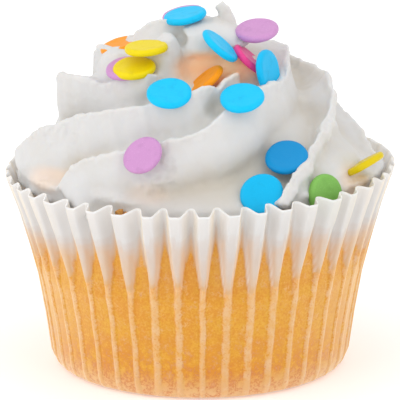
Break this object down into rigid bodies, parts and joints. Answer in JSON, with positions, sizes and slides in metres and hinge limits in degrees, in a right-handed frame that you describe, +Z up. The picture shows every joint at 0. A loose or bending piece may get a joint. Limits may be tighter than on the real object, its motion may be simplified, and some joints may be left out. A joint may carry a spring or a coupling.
{
  "type": "cupcake",
  "caption": "Small cupcake in a pleated paper case, with a twisted swirl of white icing that flares over the rim and comes to a blunt tip.",
  "frame": {"origin": "centre of the flat base of the paper case", "axes": "+Z up through the middle of the case and the swirl, -Y the front"},
  "size_m": [0.048, 0.048, 0.0448],
  "materials": {
    "baking_paper": "translucent greaseproof paper, white at the rim and golden where it lies on the cake",
    "sponge_cake": "fine golden crumb with a browned top",
    "icing": "soft satin cream with slightly torn crests",
    "sprinkle_blue": "chalky pressed sugar",
    "sprinkle_purple": "chalky pressed sugar",
    "sprinkle_yellow": "chalky pressed sugar",
    "sprinkle_orange": "chalky pressed sugar",
    "sprinkle_pink": "chalky pressed sugar",
    "sprinkle_green": "chalky pressed sugar"
  },
  "bodies": {
    "root": {"paper_case": "baking_paper", "sponge": "sponge_cake", "frosting": "icing"}
  },
  "joints": []
}
